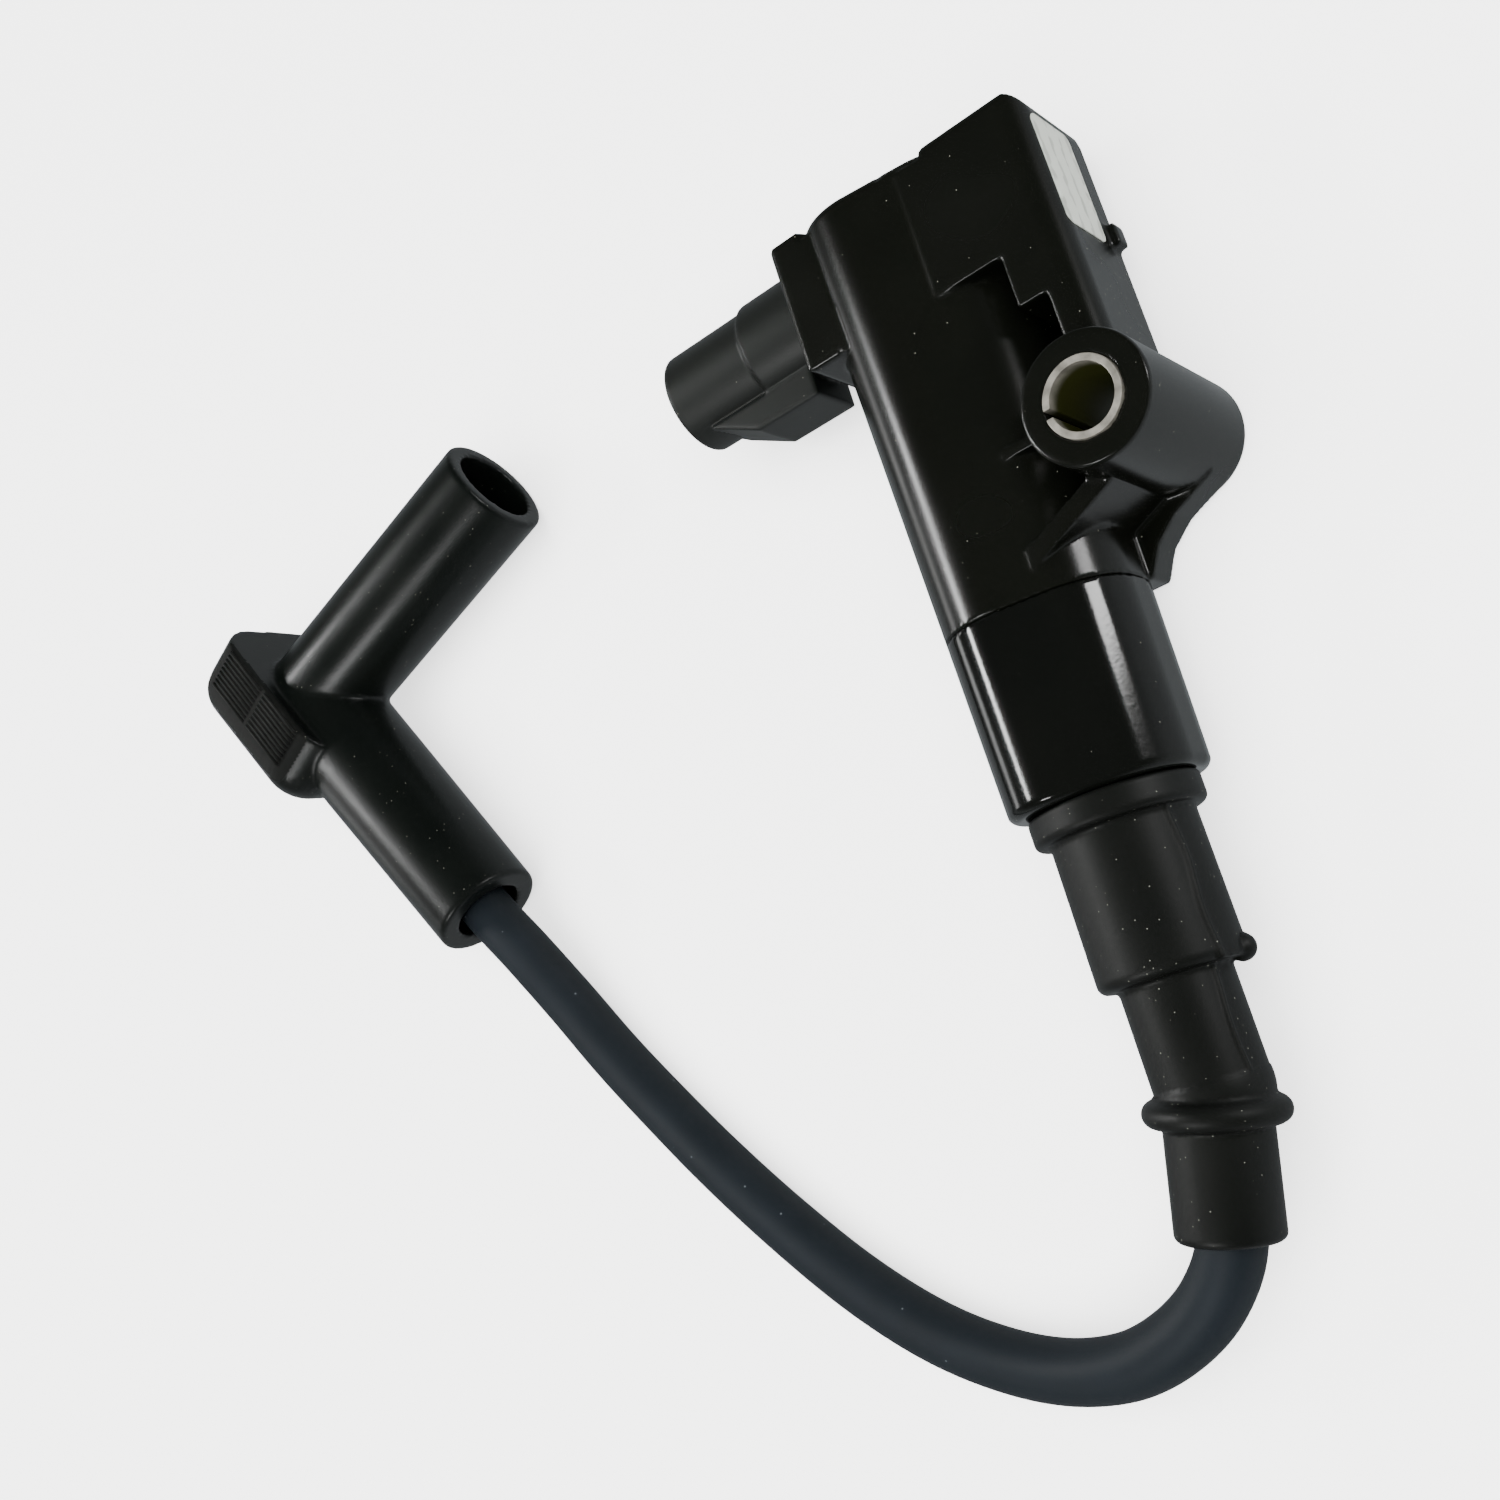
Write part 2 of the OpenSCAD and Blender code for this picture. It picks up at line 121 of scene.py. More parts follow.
tree.links.new(pale.outputs["Background"], shown.inputs[2])
add_node(tree, "ShaderNodeOutputWorld", Surface=shown.outputs["Shader"])


def lamp(name, way, distance, width, height, power, in_gloss):
    """A soft rectangular lamp that stands off in that direction and faces the coil."""
    data = bpy.data.lights.new(name, "AREA")
    data.shape = "RECTANGLE"
    data.energy = power
    data.size = width
    data.size_y = height
    thing = bpy.data.objects.new(name, data)
    way = Vector(way).normalized()
    thing.location = aim + way * distance
    thing.rotation_euler = way.to_track_quat("Z", "Y").to_euler()
    thing.visible_glossy = in_gloss
    bpy.context.scene.collection.objects.link(thing)


lamp("overhead", (0.1, -0.1, 1.0), 1.2, 1.6, 1.6, 66.0, False)
lamp("left window", (-0.74, 0.28, 0.60), 0.8, 0.26, 0.08, 2.4, True)
lamp("low left window", (-0.94, 0.25, 0.12), 0.8, 0.40, 0.12, 0.5, True)
lamp("front window", (-0.36, -0.58, 0.68), 0.8, 0.20, 0.12, 1.3, True)
lamp("right window", (0.92, 0.22, 0.30), 0.8, 0.07, 0.26, 1.2, True)


# High-voltage lead: a 7 mm cable with a matt blue-black jacket over a silicone core. Its
# extruded jacket carries a fine grain and a little pale dust.
lead_diameter = 7 * MM
lead_route = [Vector(p) * MM for p in (
    (-17, -46, 10.4), (-17, -56, 10.4), (-17, -64, 10.4), (-18.6, -72, 10.4),
    (-20.6, -80, 10.3), (-25, -85.2, 9.6), (-31, -88.5, 8.4), (-38, -90.2, 6.6),
    (-46, -89.8, 5), (-54, -87.3, 4), (-62, -82.8, 3.6), (-70, -76, 3.6),
    (-78, -67.3, 3.6), (-85.5, -58, 3.6), (-92, -49, 3.6), (-97.3, -40.7, 4),
    (-101.8, -32, 5), (-105.6, -23.8, 6.8), (-109.4, -16.7, 8), (-115, -5.9, 8.8),
    (-121.4, 6.3, 9.8))]


def smooth_path(points, steps):
    """Points along the smooth curve through the route's points."""
    path = []
    last = len(points) - 1
    for i in range(last):
        a, b = points[max(i - 1, 0)], points[i]
        c, d = points[i + 1], points[min(i + 2, last)]
        for k in range(steps):
            t = k / steps
            path.append(0.5 * (2 * b + (c - a) * t + (2 * a - 5 * b + 4 * c - d) * t * t
                               + (3 * b - a - 3 * c + d) * t ** 3))
    return path + [points[last]]


def new_object(name, mesh, body):
    thing = bpy.data.objects.new(name, mesh)
    bpy.context.scene.collection.objects.link(thing)
    for face in mesh.polygons:
        face.use_smooth = True
    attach(thing, body)
    return thing


def tube_along(rings):
    """A mesh through rings of points, one after another, capped at both ends."""
    shape = bmesh.new()
    rows = [[shape.verts.new(p) for p in ring] for ring in rings]
    count = len(rings[0])
    for low, high in zip(rows, rows[1:]):
        for k in range(count):
            n = (k + 1) % count
            shape.faces.new((low[k], low[n], high[n], high[k]))
    shape.faces.new(rows[0])
    shape.faces.new(rows[-1])
    bmesh.ops.recalc_face_normals(shape, faces=shape.faces)
    return shape


def to_mesh(shape, name):
    mesh = bpy.data.meshes.new(name)
    shape.to_mesh(mesh)
    shape.free()
    return mesh


lead_path = smooth_path(lead_route, 8)
lead_rings = []
for i, point in enumerate(lead_path):
    ahead = (lead_path[min(i + 1, len(lead_path) - 1)] - lead_path[max(i - 1, 0)]).normalized()
    level = ahead.cross(Vector((0, 0, 1))).normalized()
    rise = level.cross(ahead)
    lead_rings.append([point + lead_diameter / 2 * (math.cos(a) * level + math.sin(a) * rise)
                       for a in (2 * math.pi * k / 40 for k in range(40))])
lead_mesh = to_mesh(tube_along(lead_rings), "high_voltage_lead")
lead = new_object("high_voltage_lead", lead_mesh, "coil")


def surface_of(name, base, roughness, specular=0.5, ior=1.5):
    """A material with its shader's plain values set; gives its tree and its shader."""
    material = bpy.data.materials.new(name)
    material.use_nodes = True
    shader = material.node_tree.nodes["Principled BSDF"]
    shader.inputs["Base Color"].default_value = linear(base)
    shader.inputs["Roughness"].default_value = roughness
    shader.inputs["Specular IOR Level"].default_value = specular
    shader.inputs["IOR"].default_value = ior
    return material, material.node_tree, shader


def dusty(tree, shader, base, dust, speck_mm, share):
    """Mixes sparse pale specks of dust of that size into the base colour.

    Real dust is finer: the specks are drawn as coarse as they need to be to show."""
    place = add_node(tree, "ShaderNodeTexCoord")
    cells = add_node(tree, "ShaderNodeTexVoronoi", {"Scale": 1000 / (speck_mm * 6),
                                                    "Randomness": 1.0},
                     Vector=place.outputs["Object"])
    size = add_node(tree, "ShaderNodeMapRange", {"From Min": 0.06, "From Max": 0.12,
                                                 "To Min": 1.0, "To Max": 0.0},
                    Value=cells.outputs["Distance"])
    chosen = add_node(tree, "ShaderNodeSeparateColor", Color=cells.outputs["Color"])
    kept = add_node(tree, "ShaderNodeMath", {"operation": "LESS_THAN", 1: share})
    tree.links.new(chosen.outputs["Red"], kept.inputs[0])
    mask = add_node(tree, "ShaderNodeMath", {"operation": "MULTIPLY"})
    tree.links.new(size.outputs["Result"], mask.inputs[0])
    tree.links.new(kept.outputs["Value"], mask.inputs[1])
    cloud = add_node(tree, "ShaderNodeTexNoise", {"Scale": 120.0, "Detail": 4.0},
                     Vector=place.outputs["Object"])
    shade = add_node(tree, "ShaderNodeMix", {"data_type": "RGBA"})
    shade.inputs[6].default_value = linear(base[0])
    shade.inputs[7].default_value = linear(base[1])
    tree.links.new(cloud.outputs["Fac"], shade.inputs[0])
    mixed = add_node(tree, "ShaderNodeMix", {"data_type": "RGBA"})
    tree.links.new(mask.outputs["Value"], mixed.inputs[0])
    tree.links.new(shade.outputs[2], mixed.inputs[6])
    mixed.inputs[7].default_value = linear(dust)
    tree.links.new(mixed.outputs[2], shader.inputs["Base Color"])
    return place


def grained(tree, shader, place, grain_mm, depth_mm, low, high):
    """Fine moulded grain: a bump of that size and depth, and a roughness that varies."""
    grain = add_node(tree, "ShaderNodeTexNoise", {"Scale": 1000 / grain_mm, "Detail": 3.0},
                     Vector=place.outputs["Object"])
    bump = add_node(tree, "ShaderNodeBump", {"Strength": 0.5, "Distance": depth_mm * MM},
                    Height=grain.outputs["Fac"])
    patches = add_node(tree, "ShaderNodeTexNoise", {"Scale": 60.0, "Detail": 1.5},
                       Vector=place.outputs["Object"])
    spread = add_node(tree, "ShaderNodeMapRange", {"From Min": 0.2, "From Max": 0.8,
                                                   "To Min": low, "To Max": high},
                      Value=patches.outputs["Fac"])
    tree.links.new(bump.outputs["Normal"], shader.inputs["Normal"])
    tree.links.new(spread.outputs["Result"], shader.inputs["Roughness"])


# Extruded rubber jacket: matt, blue-black, with soft broad reflections.
jacket, tree, shader = surface_of("extruded EPDM jacket", "0d1114", 0.6, 0.4)
place = dusty(tree, shader, ("0b0f12", "10151a"), "4a5054", 0.22, 0.10)
grained(tree, shader, place, 0.35, 0.02, 0.52, 0.66)
lead_mesh.materials.append(jacket)
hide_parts("lead")


# Housing: the upper case with the head, the connector block and the bolt boss is one
# moulding of black glass-filled PBT; the tower housing is a second, glossier one glued to
# its lower end. Both share the tapered body, whose long corners are rounded to 7.5 mm, or
# 8.2 mm at the upper corner on the labelled side.
def moulded(name, node, body, cell, rounds, extra=()):
    """The CAD node's shape, with any extra shapes, remade in even cells and smoothed."""
    shape = bmesh.new()
    shape.from_mesh(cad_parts[node].data)
    bmesh.ops.remove_doubles(shape, verts=shape.verts, dist=1e-6)
    for more in extra:
        shape.from_mesh(more)
    thing = bpy.data.objects.new(name, to_mesh(shape, name))
    bpy.context.scene.collection.objects.link(thing)
    remesh = thing.modifiers.new("cells", "REMESH")
    remesh.mode = "VOXEL"
    remesh.voxel_size = cell * MM
    if rounds:
        smooth = thing.modifiers.new("rounds", "SMOOTH")
        smooth.factor = 0.5
        smooth.iterations = rounds
    ready = thing.evaluated_get(bpy.context.evaluated_depsgraph_get())
    mesh = bpy.data.meshes.new_from_object(ready)
    bpy.data.objects.remove(thing)
    mesh.name = name
    mesh.materials.clear()
    thing = new_object(name, mesh, body)
    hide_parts(node)
    return thing


def points_of(thing):
    """The piece's points in millimetres."""
    flat = np.empty(len(thing.data.vertices) * 3)
    thing.data.vertices.foreach_get("co", flat)
    return flat.reshape(-1, 3) * 1000


def put_points(thing, points):
    thing.data.vertices.foreach_set("co", (points * MM).ravel())
    thing.data.update()


def thinned(thing, limit):
    """Keeps the piece below that many triangles."""
    count = sum(len(face.vertices) - 2 for face in thing.data.polygons)
    if count <= limit:
        return
    fewer = thing.modifiers.new("fewer", "DECIMATE")
    fewer.ratio = limit / count
    ready = thing.evaluated_get(bpy.context.evaluated_depsgraph_get())
    mesh = bpy.data.meshes.new_from_object(ready)
    thing.modifiers.clear()
    thing.data = mesh
    for face in mesh.polygons:
        face.use_smooth = True


def around(points, start, end, r_start, r_end):
    """Each point's way along a cone, its distance outside it, and the way straight out."""
    start, end = np.array(start, float), np.array(end, float)
    length = np.linalg.norm(end - start)
    axis = (end - start) / length
    along = (points - start) @ axis
    radial = points - start - along[:, None] * axis
    rho = np.linalg.norm(radial, axis=1) + 1e-9
    return along, rho - (r_start + (r_end - r_start) * along / length), radial / rho[:, None]


def body_surface(points):
    """Each point's distance outside the tapered body's side, and the way straight out.

    The body's section is a band drawn tight round four discs, one of them lower and wider."""
    half = 10 + (11.5 - 10) * (points[:, 1] + 34.6) / (37 + 34.6)
    discs = [(-17 + side * (half - r), 10.4 + level * (high - r), r)
             for side, level, r, high in ((-1, -1, 7.5, 10), (1, -1, 7.5, 10),
                                          (-1, 1, 7.5, 10), (1, 1, 8.2, 8.7))]
    distance = np.full(len(points), -1e9)
    out = np.zeros_like(points)
    for angle in np.radians(np.arange(360)):
        nx, nz = math.cos(angle), math.sin(angle)
        band = np.maximum.reduce([nx * x + nz * z + r for x, z, r in discs])
        beyond = nx * points[:, 0] + nz * points[:, 2] - band
        farther = beyond > distance
        distance[farther] = beyond[farther]
        out[farther] = (nx, 0, nz)
    return distance, out


def trued(points, where, distance, out, reach=0.12):
    """Brings the points that lie within reach of a surface exactly on to it."""
    near = where & (np.abs(distance) < reach)
    points[near] -= (distance[:, None] * out)[near]


def rounded(points, where, a, a_out, b, b_out, radius):
    """Rounds the edge between two faces: a and b are the distances outside each of them."""
    va, vb = a + radius, b + radius
    span = np.hypot(va, vb)
    edge = where & (va > 0) & (vb > 0) & (span > radius)
    k = (radius / np.maximum(span, 1e-9) - 1)
    shift = (k * va)[:, None] * a_out + (k * vb)[:, None] * b_out
    points[edge] += shift[edge]


X, Y, Z = np.eye(3)
case = moulded("coil_case_moulding", "coil_case", "coil", 0.3, 2)
p = points_of(case)
distance, out = body_surface(p)
trued(p, (p[:, 1] < 36.6) & (p[:, 1] > -13.9), distance, out)
along, distance, out = around(p, (0, 0, 0), (0, 0, 25.2), 6.85, 6.85)
trued(p, (along > 0.4) & (along < 24.8), distance, out)
rounded(p, np.abs(distance) < 1.2, distance, out, along - 25.2, Z, 0.45)
rounded(p, np.abs(distance) < 1.2, distance, out, -along, -Z, 0.45)
rounded(p, p[:, 1] > 7.0, p[:, 0] - 2.4, X, p[:, 2] - 19.3, Z, 2.7)
rounded(p, p[:, 0] > -15.5, p[:, 1] - 37, Y, p[:, 2] - 19.3, Z, 0.8)
rounded(p, (p[:, 0] < -26) & (p[:, 1] > 20.5), -30.9 - p[:, 0], -X, p[:, 2] - 19.2, Z, 0.7)
rounded(p, p[:, 0] < -26, 21 - p[:, 1], -Y, p[:, 2] - 19.2, Z, 0.7)
distance, out = body_surface(p)
rounded(p, np.abs(distance) < 1.0, distance, out, p[:, 1] - 37, Y, 0.9)
put_points(case, p)
thinned(case, 190000)

tower = moulded("tower_housing_moulding", "tower_housing", "coil", 0.3, 2)
p = points_of(tower)
distance, out = body_surface(p)
trued(p, p[:, 1] > -34.3, distance, out)
rounded(p, distance > -2.5, distance, out, -34.6 - p[:, 1], -Y, 1.1)
put_points(tower, p)
thinned(tower, 150000)


def housing(name, base, low, high, dust_share):
    material, tree, shader = surface_of(name, base[0], low, 0.5, 1.55)
    place = dusty(tree, shader, base, "77786c", 0.10, dust_share)
    grained(tree, shader, place, 0.5, 0.012, low, high)
    return material


# Moulded and semi-gloss: soft-edged reflections with a few specks of dust.
case_plastic = housing("moulded black PBT", ("050604", "080906"), 0.2, 0.3, 0.05)
case.data.materials.append(case_plastic)
# Polished in the mould: sharper and brighter reflections than on the case.
tower_plastic = housing("glossy black PBT", ("050605", "080907"), 0.1, 0.16, 0.05)
tower.data.materials.append(tower_plastic)


# Connector shroud: the matt round socket for the harness plug, with a collar near the
# block and a locking ramp on the side towards the lead.
shroud = moulded("connector_shroud_moulding", "connector_shroud", "coil", 0.25, 2)
p = points_of(shroud)
for x_from, x_to, radius in ((-51.5, -39.6, 6.4), (-39.2, -30.9, 6.9)):
    along, distance, out = around(p, (x_from, 30.2, 10.4), (x_to, 30.2, 10.4), radius, radius)
    trued(p, (along > 0.3) & (along < x_to - x_from - 0.3), distance, out)
along, distance, out = around(p, (-51.5, 30.2, 10.4), (-40, 30.2, 10.4), 6.4, 6.4)
rounded(p, (along < 2) & (np.abs(distance) < 1), distance, out, -along, -X, 0.5)
put_points(shroud, p)
thinned(shroud, 120000)
# Spark-eroded mould: a matt face that shows no clear reflection.
shroud_plastic = housing("matt black PBT", ("0a0c0a", "0e100e"), 0.42, 0.55, 0.06)
shroud.data.materials.append(shroud_plastic)


# Coil boot: one rubber moulding pushed over the high-voltage tower, with a flange, two
# steps, a bead and a bent end sleeve that grips the lead. It has a mould flash line on the
# labelled side and a small pull tab at the first step.
def ball(centre, radius):
    shape = bmesh.new()
    bmesh.ops.create_icosphere(shape, subdivisions=3, radius=radius * MM,
                               matrix=Matrix.Translation(Vector(centre) * MM))
    return to_mesh(shape, "ball")


coil_boot = moulded("coil_boot_moulding", "coil_boot", "coil", 0.26, 4,
                    [ball((-9.75, -53.2, 9.2), 1.5)])
p = points_of(coil_boot)
end_way = np.array((-math.sin(math.radians(14)), -math.cos(math.radians(14)), 0))
knee = np.array((-17, -65.5, 10.4))
sleeves = (((-17, -38.4, 10.4), (-17, -53.3, 10.4), 7.72, 7.8),
           ((-17, -54.6, 10.4), (-17, -64.8, 10.4), 5.9, 5.9),
           (knee + 3.8 * end_way, knee + 14.2 * end_way, 5.5, 5.5))
for start, end, r_start, r_end in sleeves:
    along, distance, out = around(p, start, end, r_start, r_end)
    length = np.linalg.norm(np.array(end) - np.array(start))
    trued(p, (along > 0) & (along < length), distance, out, 0.16)
along, distance, out = around(p, (-17, -34.7, 10.4), (-17, -37.9, 10.4), 9.2, 9.2)
rounded(p, (along < 6) & (np.abs(distance) < 1.5), distance, out, along - 3.2, -Y, 0.8)
rounded(p, (along < 6) & (np.abs(distance) < 1.5), distance, out, -along, Y, 0.5)
along, distance, out = around(p, (-17, -34.7, 10.4), (-17, -53.9, 10.4), 7.7, 7.8)
on_step = (along > 15) & (along < 19.6) & (np.abs(distance) < 1.8) & (p[:, 0] < -10.4)
rounded(p, on_step, distance, out, along - 19.2, -Y, 1.1)
turn = np.arctan2(p[:, 2] - 10.4, p[:, 0] + 17)
seam = 0.5 + 0.03 * np.sin(along * 0.55)
flash = 0.22 * np.exp(-((turn - seam) * 7.4 / 0.35) ** 2)
on_sleeve = (along > 3.4) & (along < 30) & (distance > -2.4)
p[on_sleeve] += (flash[:, None] * out)[on_sleeve]
along, distance, out = around(p, knee, knee + 14.8 * end_way, 5.5, 5.5)
rounded(p, (along > 12) & (np.abs(distance) < 1.3), distance, out, along - 14.8,
        end_way, 0.8)
put_points(coil_boot, p)
thinned(coil_boot, 150000)


def rubber(name, base, low, high, dust_share):
    material, tree, shader = surface_of(name, base[0], low, 0.5, 1.5)
    place = dusty(tree, shader, base, "5d5f56", 0.12, dust_share)
    grained(tree, shader, place, 0.5, 0.02, low, high)
    return material


# Matt moulded rubber: broad dull highlights, and more dust than on the plastic.
boot_rubber = rubber("moulded rubber, matt", ("040504", "070806"), 0.42, 0.58, 0.4)
coil_boot.data.materials.append(boot_rubber)


# Spark-plug elbow: one rubber moulding of a lead leg and a socket at a right angle, with an
# oval pad on the outside of the corner. The pad's back is domed, and its rim has two
# groups of ridges on each side.
corner = np.array((-130, 22.8, 11.0))
leg_end = np.array((-109.4, -16.7, 8.0))
socket_end = np.array((-88.5, 38.2, 8.0))
elbow_boot = moulded("elbow_boot_moulding", "elbow_boot", "elbow", 0.32, 4)
p = points_of(elbow_boot)
leg_length = np.linalg.norm(leg_end - corner)
leg_way = (leg_end - corner) / leg_length
socket_length = np.linalg.norm(socket_end - corner)
socket_way = (socket_end - corner) / socket_length
pad_out = np.cross(leg_way, Z)
pad_out = -pad_out / np.linalg.norm(pad_out)
if pad_out @ socket_way > 0:
    pad_out = -pad_out
pad_up = np.cross(leg_way, pad_out)
pad_up = pad_up * np.sign(pad_up[2])
pad_centre = corner - 0.5 * leg_way
pad_half_long, pad_half_high, pad_corner = 13.8, 10.5, 6
pad_edge, pad_rise = 5.2, 4.8
u, w, n = (p - pad_centre) @ leg_way, (p - pad_centre) @ pad_up, (p - pad_centre) @ pad_out
over_u = np.abs(u) - (pad_half_long - pad_corner)
over_w = np.abs(w) - (pad_half_high - pad_corner)
inset = pad_corner - np.hypot(np.maximum(over_u, 0), np.maximum(over_w, 0)) \
    - np.minimum(np.maximum(over_u, over_w), 0)
crown = np.sqrt(np.maximum(1 - (1 - np.clip(inset / 5.2, 0, 1)) ** 2, 0))
dome = pad_edge + pad_rise * crown
leg_root_r, leg_mouth_r, socket_r = 8.2, 7.5, 7.8
leg_r = leg_root_r + (leg_mouth_r - leg_root_r) * np.clip(u / leg_length, 0, 1)
leg_n = np.sqrt(np.maximum(leg_r ** 2 - w ** 2, 0))
on_pad = (n > pad_edge) & (inset > -0.4) & (np.abs(u) < 14.1)
height = np.maximum(dome, np.where(u > 9, leg_n, 0))
p[on_pad] += ((height - n)[:, None] * pad_out)[on_pad]
for start, end, r_start, r_end, first in (
        (corner, leg_end, leg_root_r, leg_mouth_r, 15.0),
        (corner, socket_end, socket_r, socket_r, 9.0)):
    along, distance, out = around(p, start, end, r_start, r_end)
    length = np.linalg.norm(end - start)
    trued(p, (along > first) & (along < length - 0.5), distance, out, 0.16)
    rounded(p, (along > length - 3) & (np.abs(distance) < 1.2), distance, out,
            along - length, (end - start) / length, 0.6)
put_points(elbow_boot, p)
relax = elbow_boot.modifiers.new("relax", "SMOOTH")
relax.factor = 0.5
relax.iterations = 3
thinned(elbow_boot, 170000)


def ridge_bars():
    """Two groups of small parallel ridges, set out by Geometry Nodes on the pad's rim."""
    tree = bpy.data.node_groups.new("grip ridges", "GeometryNodeTree")
    for name, kind, value in (("Ridges", "NodeSocketInt", 9), ("Pitch", "NodeSocketFloat", 0.74),
                              ("Group gap", "NodeSocketFloat", 9.4),
                              ("Length", "NodeSocketFloat", 8.6)):
        socket = tree.interface.new_socket(name, in_out="INPUT", socket_type=kind)
        socket.default_value = value
    tree.interface.new_socket("Geometry", in_out="OUTPUT", socket_type="NodeSocketGeometry")
    given = add_node(tree, "NodeGroupInput")
    steps = add_node(tree, "ShaderNodeMath", {"operation": "SUBTRACT", 1: 1.0})
    tree.links.new(given.outputs["Ridges"], steps.inputs[0])
    spread = add_node(tree, "ShaderNodeMath", {"operation": "MULTIPLY"})
    tree.links.new(steps.outputs["Value"], spread.inputs[0])
    tree.links.new(given.outputs["Pitch"], spread.inputs[1])
    places = add_node(tree, "GeometryNodeMeshGrid", {"Vertices X": 2})
    tree.links.new(given.outputs["Group gap"], places.inputs["Size X"])
    tree.links.new(spread.outputs["Value"], places.inputs["Size Y"])
    tree.links.new(given.outputs["Ridges"], places.inputs["Vertices Y"])
    bar = add_node(tree, "GeometryNodeMeshCylinder", {"Vertices": 12, "Radius": 0.26})
    tree.links.new(given.outputs["Length"], bar.inputs["Depth"])
    lying = add_node(tree, "GeometryNodeTransform", {"Rotation": (0, math.pi / 2, 0)},
                     Geometry=bar.outputs["Mesh"])
    spots = add_node(tree, "GeometryNodeInstanceOnPoints", Points=places.outputs["Mesh"],
                     Instance=lying.outputs["Geometry"])
    real = add_node(tree, "GeometryNodeRealizeInstances", Geometry=spots.outputs["Instances"])
    finish = add_node(tree, "GeometryNodeSetMaterial", {"Material": boot_rubber},
                      Geometry=real.outputs["Geometry"])
    result = add_node(tree, "NodeGroupOutput")
    tree.links.new(finish.outputs["Geometry"], result.inputs["Geometry"])
    holder = bpy.data.objects.new("ridges", bpy.data.meshes.new("ridges"))
    bpy.context.scene.collection.objects.link(holder)
    maker = holder.modifiers.new("ridges", "NODES")
    maker.node_group = tree
    ready = holder.evaluated_get(bpy.context.evaluated_depsgraph_get())
    mesh = bpy.data.meshes.new_from_object(ready)
    bpy.data.objects.remove(holder)
    return mesh


ridges = ridge_bars()
shape = bmesh.new()
shape.from_mesh(elbow_boot.data)
for side in (1, -1):
    rim = ridges.copy()
    rim_out = side * pad_up
    rim_frame = Matrix((leg_way, np.cross(rim_out, leg_way), rim_out)).transposed().to_4x4()
    place = Matrix.Translation(Vector(pad_centre + 1.8 * pad_out + 10.42 * rim_out) * MM)
    rim.transform(place @ rim_frame @ Matrix.Scale(MM, 4))
    shape.from_mesh(rim)
shape.to_mesh(elbow_boot.data)
shape.free()
for face in elbow_boot.data.polygons:
    face.use_smooth = True
# Satin rubber gives the legs long soft highlights; the ridged rim is dull from handling.
elbow_rubber = rubber("moulded rubber, satin", ("040605", "070907"), 0.26, 0.4, 0.2)
elbow_boot.data.materials.clear()
elbow_boot.data.materials.append(elbow_rubber)
grip_rubber = rubber("moulded rubber, worn dull", ("040504", "070806"), 0.7, 0.85, 0.1)
elbow_boot.data.materials.append(grip_rubber)
for face in elbow_boot.data.polygons:
    at = np.array(face.center) * 1000 - pad_centre
    on_rim = abs(at @ pad_up) > 9.7 and abs(at @ leg_way) < 14.5
    face.material_index = 1 if on_rim else 0


# Sleeve in the boss: rolled from galvanised steel sheet, so it has a slit; bright and rough,
# with a painted shade and painted reflection in dark olive further down the hole.
sleeve_shape = bmesh.new()
sleeve_shape.from_mesh(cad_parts["compression_sleeve"].data)
bmesh.ops.remove_doubles(sleeve_shape, verts=sleeve_shape.verts, dist=1e-6)
bmesh.ops.dissolve_limit(sleeve_shape, angle_limit=0.02, verts=sleeve_shape.verts,
                         edges=sleeve_shape.edges)
sleeve_mesh = to_mesh(sleeve_shape, "rolled_sleeve")
sleeve_mesh.materials.clear()
sleeve = bpy.data.objects.new("rolled_sleeve", sleeve_mesh)
bpy.context.scene.collection.objects.link(sleeve)
soften = sleeve.modifiers.new("soft edges", "BEVEL")
soften.width = 0.12 * MM
soften.segments = 2
soften.limit_method = "ANGLE"
soften.angle_limit = math.radians(40)
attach(sleeve, "coil")
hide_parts("compression_sleeve")


def metal(name, base, dark, low, high, grain_mm):
    """Bare metal with patches of tarnish and a fine uneven surface."""
    material, tree, shader = surface_of(name, base, low)
    shader.inputs["Metallic"].default_value = 1.0
    place = add_node(tree, "ShaderNodeTexCoord")
    patch = add_node(tree, "ShaderNodeTexNoise", {"Scale": 1000 / (grain_mm * 4), "Detail": 5.0},
                     Vector=place.outputs["Object"])
    span = add_node(tree, "ShaderNodeMapRange", {"From Min": 0.35, "From Max": 0.7},
                    Value=patch.outputs["Fac"])
    tint = add_node(tree, "ShaderNodeMix", {"data_type": "RGBA"})
    tint.inputs[6].default_value = linear(base)
    tint.inputs[7].default_value = linear(dark)
    tree.links.new(span.outputs["Result"], tint.inputs[0])
    tree.links.new(tint.outputs[2], shader.inputs["Base Color"])
    grained(tree, shader, place, grain_mm, 0.02, low, high)
    return material, tree, shader, tint


# Dull zinc: pale and rough on the rim; further down the hole a painted shade and painted
# reflection turn it dark olive.
galvanised, tree, shader, tint = metal("galvanised steel", "86837a", "5c5a53", 0.28, 0.5, 0.35)
place = add_node(tree, "ShaderNodeTexCoord")
high = add_node(tree, "ShaderNodeSeparateXYZ", Vector=place.outputs["Object"])
depth = add_node(tree, "ShaderNodeMapRange", {"From Min": 0.0235, "From Max": 0.0253},
                 Value=high.outputs["Z"])
# Painted shade and painted reflection: below the rim the colour is ramped to dark olive by height.
bore_painted_shade = add_node(tree, "ShaderNodeMix", {"data_type": "RGBA"})
bore_painted_shade.inputs[6].default_value = linear("2a2c12")
tree.links.new(depth.outputs["Result"], bore_painted_shade.inputs[0])
tree.links.new(tint.outputs[2], bore_painted_shade.inputs[7])
tree.links.new(bore_painted_shade.outputs[2], shader.inputs["Base Color"])
shader.inputs["Metallic"].default_value = 0.35
sleeve_mesh.materials.append(galvanised)


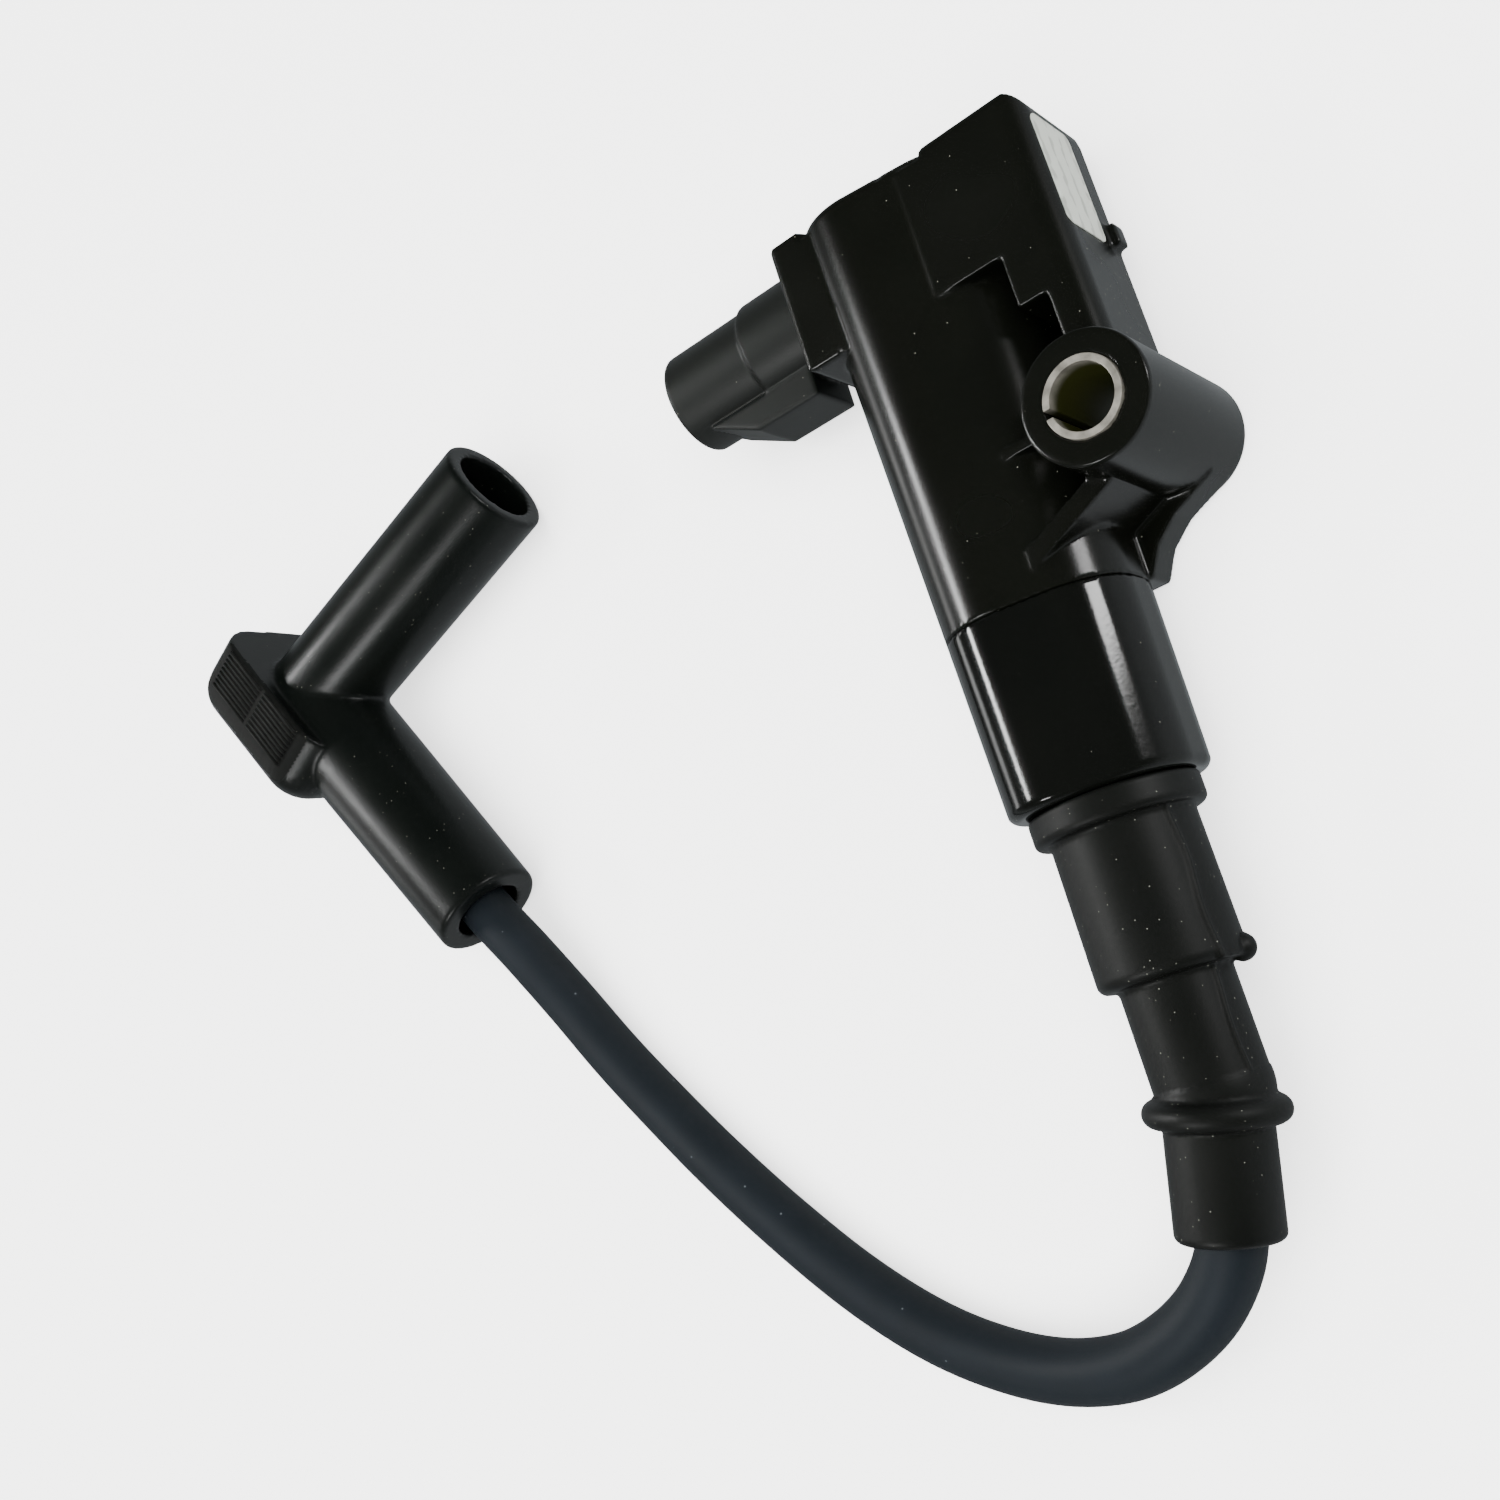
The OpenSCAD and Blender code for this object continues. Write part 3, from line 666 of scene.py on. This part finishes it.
# Label: a thin matt sticker with rounded corners on the side of the head, following the
# rounded front edge. It has faint grey bars only, and no lettering.
columns, rows = 40, 28
label_shape = bmesh.new()
grid = []
for j in range(rows + 1):
    for i in range(columns + 1):
        grid.append((0.12, 20.8 + 13.4 * i / columns, 8.6 + 8.8 * j / rows))
grid = np.array(grid)
across_label, up_label = grid[:, 1] - 27.5, grid[:, 2] - 13.0
rounded(grid, grid[:, 0] > -1, np.abs(across_label) - 6.7,
        np.sign(across_label)[:, None] * Y, np.abs(up_label) - 4.4,
        np.sign(up_label)[:, None] * Z, 1.0)
drop = 2.7 - np.sqrt(np.maximum(2.7 ** 2 - np.maximum(grid[:, 2] - 16.6, 0) ** 2, 0))
grid[:, 0] += 2.4 - drop
corners = [label_shape.verts.new(Vector(q) * MM) for q in grid]
for j in range(rows):
    for i in range(columns):
        k = j * (columns + 1) + i
        label_shape.faces.new((corners[k], corners[k + 1], corners[k + columns + 2],
                               corners[k + columns + 1]))
raised = bmesh.ops.extrude_face_region(label_shape, geom=list(label_shape.faces))["geom"]
bmesh.ops.translate(label_shape, vec=(-0.11 * MM, 0, 0),
                    verts=[v for v in raised if isinstance(v, bmesh.types.BMVert)])
bmesh.ops.recalc_face_normals(label_shape, faces=label_shape.faces)
label = new_object("side_label", to_mesh(label_shape, "side_label"), "coil")
# Matt paper: even and grey, with marks that hold no characters.
paper, tree, shader = surface_of("matt label paper", "b4b9b0", 0.55, 0.4)
place = add_node(tree, "ShaderNodeTexCoord")
stretched = add_node(tree, "ShaderNodeMapping", {"Scale": (0, 500, 900)},
                     Vector=place.outputs["Object"])
marks = add_node(tree, "ShaderNodeTexNoise", {"Scale": 1.0, "Detail": 1.0},
                 Vector=stretched.outputs["Vector"])
bars = add_node(tree, "ShaderNodeTexWave", {"Scale": 120.0, "bands_direction": "Z"},
                Vector=place.outputs["Object"])
both = add_node(tree, "ShaderNodeMath", {"operation": "MULTIPLY"})
tree.links.new(marks.outputs["Fac"], both.inputs[0])
tree.links.new(bars.outputs["Fac"], both.inputs[1])
faint = add_node(tree, "ShaderNodeMapRange", {"From Min": 0.42, "From Max": 0.5,
                                              "To Max": 0.45}, Value=both.outputs["Value"])
printed = add_node(tree, "ShaderNodeMix", {"data_type": "RGBA"})
printed.inputs[6].default_value = linear("9ea29b")
printed.inputs[7].default_value = linear("5c605a")
tree.links.new(faint.outputs["Result"], printed.inputs[0])
tree.links.new(printed.outputs[2], shader.inputs["Base Color"])
label.data.materials.append(paper)
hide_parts("label")


# Parts inside the housing and the boots: blades, seal, core, magnet, bobbins, windings,
# shield, resin, cup, spring, terminals and clip. They keep the CAD's own shapes.
brass = metal("drawn brass", "c49a4a", "8a6a30", 0.25, 0.4, 0.3)[0]
tinned = metal("tinned brass", "cfccc0", "a8a598", 0.2, 0.35, 0.3)[0]
stack_steel = metal("core sheet steel", "6e7074", "4c4e52", 0.35, 0.5, 0.4)[0]
spring_steel = metal("spring steel wire", "b9bab8", "8d8e8c", 0.2, 0.35, 0.2)[0]
ferrite = metal("sintered magnet", "4a4b4d", "343537", 0.5, 0.7, 0.4)[0]
enamel = metal("enamelled copper wire", "b5602c", "8c4520", 0.25, 0.4, 0.2)[0]
resin = housing("cured epoxy resin", ("16140e", "1d1a12"), 0.2, 0.4, 0.02)
nylon = housing("unfilled nylon", ("b9b49c", "c6c1aa"), 0.35, 0.5, 0.02)
seal_rubber = rubber("silicone seal", ("6a3018", "783a20"), 0.4, 0.55, 0.04)
inside = {
    "head_potting": (resin, "resin"), "body_potting": (resin, "resin"),
    "connector_seal": (seal_rubber, "seal_rubber"),
    "terminal_blade_upper": (tinned, "tinned_brass"),
    "terminal_blade_lower": (tinned, "tinned_brass"),
    "lead_frame": (brass, "brass"), "core_laminations": (stack_steel, "core_steel"),
    "bias_magnet": (ferrite, "magnet"), "primary_bobbin": (nylon, "bobbin_plastic"),
    "secondary_bobbin": (nylon, "bobbin_plastic"),
    "primary_winding": (enamel, "enamelled_wire"),
    "secondary_winding": (enamel, "enamelled_wire"),
    "flux_shield": (stack_steel, "core_steel"), "high_voltage_cup": (brass, "brass"),
    "contact_spring": (spring_steel, "spring_steel"),
    "coil_end_terminal": (brass, "brass"), "plug_end_terminal": (brass, "brass"),
    "plug_clip": (spring_steel, "spring_steel")}
for name, (material, slot_name) in inside.items():
    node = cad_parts[name]
    node.data.materials.clear()
    node.data.materials.append(material)
